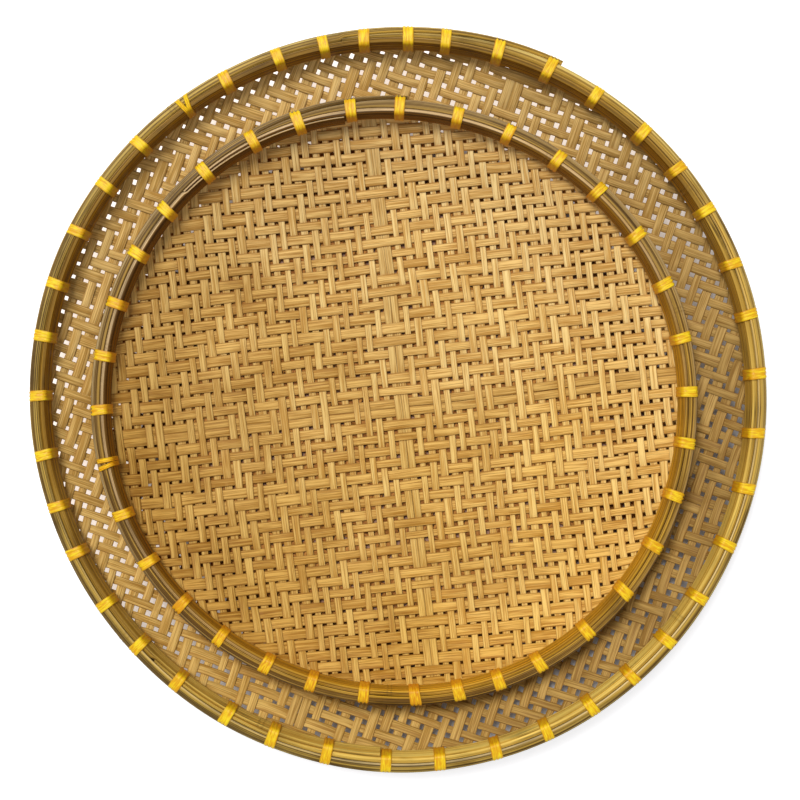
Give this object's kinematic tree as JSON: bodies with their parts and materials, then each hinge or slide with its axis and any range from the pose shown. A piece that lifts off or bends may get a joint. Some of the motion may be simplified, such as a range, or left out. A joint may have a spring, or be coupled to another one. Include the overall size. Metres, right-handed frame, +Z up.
{
  "type": "nested bamboo tray pair",
  "caption": "Nested pair of shallow round woven bamboo trays with hooped rims bound by yellow lashings; the small tray lifts out of the large one.",
  "frame": {"origin": "centre of the large tray's flat underside, where it stands", "axes": "+Z up out of the trays; +X to the right and +Y to the top of the picture"},
  "size_m": [0.5004, 0.5064, 0.0466],
  "materials": {
    "large_mat_splints": "dry split bamboo, straw gold, matt with fine grain lines",
    "small_mat_splints": "dry split bamboo, warm straw gold, matt with fine grain lines",
    "large_outer_lath": "bamboo lath with olive brown skin, satin, streaked along its length",
    "large_inner_lath": "bamboo lath, olive gold, satin, streaked along its length",
    "small_outer_lath": "weathered bamboo lath, grey brown, satin, streaked along its length",
    "small_inner_lath": "bamboo lath, olive gold, satin, with a pale cut edge",
    "yellow_lashing": "yellow dyed split strip, slightly glossy, with fibre lines"
  },
  "bodies": {
    "large_tray": {"large_inner_hoop": "large_inner_lath", "large_lashing_strip_01": "yellow_lashing", "large_lashing_strip_02": "yellow_lashing", "large_lashing_strip_03": "yellow_lashing", "large_lashing_strip_04": "yellow_lashing", "large_lashing_strip_05": "yellow_lashing", "large_lashing_strip_06": "yellow_lashing", "large_lashing_strip_07": "yellow_lashing", "large_lashing_strip_08": "yellow_lashing", "large_lashing_strip_09": "yellow_lashing", "large_lashing_strip_10": "yellow_lashing", "large_lashing_strip_11": "yellow_lashing", "large_lashing_strip_12": "yellow_lashing", "large_lashing_strip_13": "yellow_lashing", "large_lashing_strip_14": "yellow_lashing", "large_lashing_strip_15": "yellow_lashing", "large_lashing_strip_16": "yellow_lashing", "large_lashing_strip_17": "yellow_lashing", "large_lashing_strip_18": "yellow_lashing", "large_lashing_strip_19": "yellow_lashing", "large_lashing_strip_20": "yellow_lashing", "large_lashing_strip_21": "yellow_lashing", "large_mat": "large_mat_splints", "large_outer_hoop": "large_outer_lath"},
    "small_tray": {"small_inner_hoop": "small_inner_lath", "small_lashing_strip_01": "yellow_lashing", "small_lashing_strip_02": "yellow_lashing", "small_lashing_strip_03": "yellow_lashing", "small_lashing_strip_04": "yellow_lashing", "small_lashing_strip_05": "yellow_lashing", "small_lashing_strip_06": "yellow_lashing", "small_lashing_strip_07": "yellow_lashing", "small_lashing_strip_08": "yellow_lashing", "small_lashing_strip_09": "yellow_lashing", "small_lashing_strip_10": "yellow_lashing", "small_lashing_strip_11": "yellow_lashing", "small_lashing_strip_12": "yellow_lashing", "small_lashing_strip_13": "yellow_lashing", "small_lashing_strip_14": "yellow_lashing", "small_lashing_strip_15": "yellow_lashing", "small_lashing_strip_16": "yellow_lashing", "small_lashing_strip_17": "yellow_lashing", "small_lashing_strip_18": "yellow_lashing", "small_mat": "small_mat_splints", "small_outer_hoop": "small_outer_lath"}
  },
  "joints": [
    {"name": "small_tray_lift", "type": "slide", "parent": "large_tray", "child": "small_tray", "axis": [0, 0, 1], "range_m": [0, 0.12]}
  ]
}
